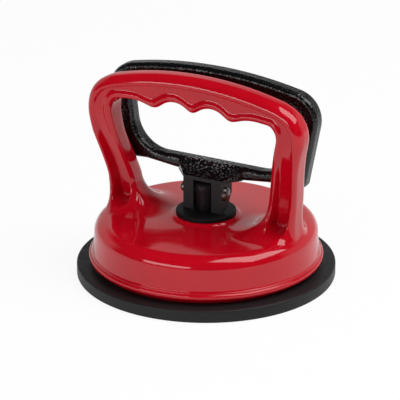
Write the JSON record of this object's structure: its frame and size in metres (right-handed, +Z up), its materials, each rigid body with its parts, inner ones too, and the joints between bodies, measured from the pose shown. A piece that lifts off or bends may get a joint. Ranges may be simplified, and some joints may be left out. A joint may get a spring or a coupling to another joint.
{
  "type": "suction lifter",
  "caption": "Hand-held suction lifter for floor tiles and glass: cast handle body, rubber cup pad and a cam lever behind the grip that draws the pad's middle up.",
  "frame": {"origin": "middle of the pad's flat underside, on the stem's axis", "axes": "+Z up along the stem; X along the handle's grip; the handle stands on the -Y side of the stem and the lever opens towards +Y"},
  "size_m": [0.12, 0.12, 0.0981],
  "materials": {
    "red_enamel": "gloss red enamel on a die casting",
    "black_coat": "black wrinkle powder coat on a die casting",
    "black_bush": "satin black moulded",
    "pad_rubber": "matt black moulded rubber",
    "dark_steel": "blackened steel",
    "zinc_steel": "zinc plated",
    "spring_steel": "bright spring wire",
    "pin_steel": "bright rivet pin"
  },
  "bodies": {
    "body": {"body_casting": "red_enamel", "guide_bush": "black_bush", "suction_pad": "pad_rubber", "spring_washer": "zinc_steel", "return_spring": "spring_steel"},
    "stem": {"stem": "dark_steel", "lock_washer": "zinc_steel", "plate_stud": "zinc_steel", "pad_plate": "zinc_steel"},
    "lever": {"locking_lever": "black_coat", "pivot_pin": "pin_steel"}
  },
  "joints": [
    {"name": "stem_slide", "type": "slide", "parent": "body", "child": "stem", "axis": [0, 0, 1], "range_m": [-0.003, 0], "deforming": ["return_spring", "suction_pad"]},
    {"name": "lever_hinge", "type": "hinge", "parent": "stem", "child": "lever", "pos_m": [0, 0, 0.0401], "axis": [-1, 0, 0], "range_deg": [0, 55]}
  ],
  "couplings": [
    {"joint": "stem_slide", "follows": "lever_hinge", "m_per_rad": -0.0031252}
  ]
}
